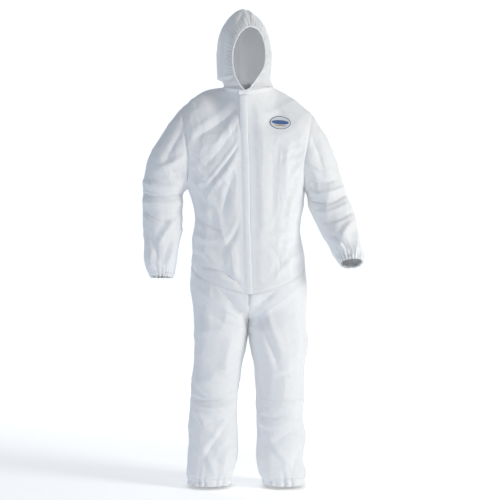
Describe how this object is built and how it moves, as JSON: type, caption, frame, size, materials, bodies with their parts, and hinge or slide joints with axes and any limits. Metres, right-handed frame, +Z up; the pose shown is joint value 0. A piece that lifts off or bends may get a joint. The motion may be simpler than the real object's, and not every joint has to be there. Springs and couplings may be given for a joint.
{
  "type": "chemical protective suit",
  "caption": "Disposable hooded protective coverall with a zipped front under a storm flap, gathered face opening, and elasticated wrists, waist and ankles.",
  "frame": {"origin": "middle of the neck opening, where the garment hangs on the wearer's neck and shoulders", "axes": "+Z up through the hood, front towards -Y, wearer's left towards +X"},
  "size_m": [0.7931, 0.3206, 1.7499],
  "materials": {
    "shell_fabric": "white spunbond non-woven polypropylene, point bonded, matt",
    "binding_fabric": "white non-woven folded double and stitched",
    "elastic": "white covered elastic",
    "zip_tape": "white polyester tape with a nylon coil",
    "zip_plastic": "white lacquered zip hardware",
    "patch_film": "plain printed film patch with a grey rim, no text",
    "label_ribbon": "blank woven size label"
  },
  "bodies": {
    "torso": {"right_front_panel": "shell_fabric", "left_front_panel": "shell_fabric", "back_panel": "shell_fabric", "right_hip_panel": "shell_fabric", "left_hip_panel": "shell_fabric", "zip_tape_right": "zip_tape", "zip_tape_left": "zip_tape", "zip_top_stop": "zip_plastic", "zip_bottom_stop": "zip_plastic", "chin_tab": "binding_fabric", "chest_patch": "patch_film", "back_waist_elastic": "elastic", "size_label": "label_ribbon", "neck_fold": "shell_fabric", "right_sleeve_cap": "shell_fabric", "left_sleeve_cap": "shell_fabric", "right_hip_fold": "shell_fabric", "left_hip_fold": "shell_fabric"},
    "storm_flap": {"storm_flap": "shell_fabric"},
    "zip_slider": {"zip_slider": "zip_plastic"},
    "zip_pull_tab": {"zip_pull_tab": "zip_plastic"},
    "hood": {"hood_right_panel": "shell_fabric", "hood_left_panel": "shell_fabric", "hood_face_hem": "shell_fabric", "hood_elastic": "elastic"},
    "right_upper_arm": {"right_upper_sleeve": "shell_fabric", "right_elbow_fold": "shell_fabric"},
    "right_forearm": {"right_forearm_sleeve": "shell_fabric", "right_cuff_hem": "shell_fabric", "right_cuff_elastic": "elastic"},
    "right_thigh": {"right_thigh_leg": "shell_fabric", "right_knee_fold": "shell_fabric"},
    "right_shin": {"right_shin_leg": "shell_fabric", "right_ankle_hem": "shell_fabric", "right_ankle_elastic": "elastic"},
    "left_upper_arm": {"left_upper_sleeve": "shell_fabric", "left_elbow_fold": "shell_fabric"},
    "left_forearm": {"left_forearm_sleeve": "shell_fabric", "left_cuff_hem": "shell_fabric", "left_cuff_elastic": "elastic"},
    "left_thigh": {"left_thigh_leg": "shell_fabric", "left_knee_fold": "shell_fabric"},
    "left_shin": {"left_shin_leg": "shell_fabric", "left_ankle_hem": "shell_fabric", "left_ankle_elastic": "elastic"}
  },
  "joints": [
    {"name": "right_shoulder_raise", "type": "hinge", "parent": "torso", "child": "right_upper_arm", "pos_m": [-0.24304, 0, -0.24357], "axis": [0, 1, 0], "range_deg": [0, 60], "deforming": ["right_sleeve_cap"]},
    {"name": "right_elbow_bend", "type": "hinge", "parent": "right_upper_arm", "child": "right_forearm", "pos_m": [-0.31404, 0, -0.39583], "axis": [-1, 0, 0], "range_deg": [-8, 82], "deforming": ["right_elbow_fold"]},
    {"name": "right_hip_swing", "type": "hinge", "parent": "torso", "child": "right_thigh", "pos_m": [-0.107, 0, -0.807], "axis": [-1, 0, 0], "range_deg": [-15, 60], "deforming": ["right_hip_fold"]},
    {"name": "right_knee_bend", "type": "hinge", "parent": "right_thigh", "child": "right_shin", "pos_m": [-0.121, 0, -1.162], "axis": [1, 0, 0], "range_deg": [0, 85], "deforming": ["right_knee_fold"]},
    {"name": "left_shoulder_raise", "type": "hinge", "parent": "torso", "child": "left_upper_arm", "pos_m": [0.23725, 0, -0.24602], "axis": [0, -1, 0], "range_deg": [0, 60], "deforming": ["left_sleeve_cap"]},
    {"name": "left_elbow_bend", "type": "hinge", "parent": "left_upper_arm", "child": "left_forearm", "pos_m": [0.29746, 0, -0.40286], "axis": [-1, 0, 0], "range_deg": [-30, 60], "deforming": ["left_elbow_fold"]},
    {"name": "left_hip_swing", "type": "hinge", "parent": "torso", "child": "left_thigh", "pos_m": [0.107, 0, -0.807], "axis": [-1, 0, 0], "range_deg": [-15, 60], "deforming": ["left_hip_fold"]},
    {"name": "left_knee_bend", "type": "hinge", "parent": "left_thigh", "child": "left_shin", "pos_m": [0.121, 0, -1.162], "axis": [1, 0, 0], "range_deg": [0, 85], "deforming": ["left_knee_fold"]},
    {"name": "hood_tilt", "type": "hinge", "parent": "torso", "child": "hood", "pos_m": [0, 0, 0.008], "axis": [-1, 0, 0], "range_deg": [-3, 20], "deforming": ["neck_fold"]},
    {"name": "storm_flap_open", "type": "hinge", "parent": "torso", "child": "storm_flap", "pos_m": [-0.01949, -0.12181, -0.3833], "axis": [0.0266, -0.0364, -0.999], "range_deg": [0, 165]},
    {"name": "zip_slide", "type": "slide", "parent": "torso", "child": "zip_slider", "axis": [0.0266, -0.0364, -0.999], "range_m": [0, 0.64]},
    {"name": "pull_tab_lift", "type": "hinge", "parent": "zip_slider", "child": "zip_pull_tab", "pos_m": [-0.01071, -0.1063, -0.03692], "axis": [-0.9996, -0.001, -0.0266], "range_deg": [0, 99]}
  ],
  "couplings": [
    {"joint": "pull_tab_lift", "follows": "storm_flap_open", "ratio": 0.6}
  ]
}
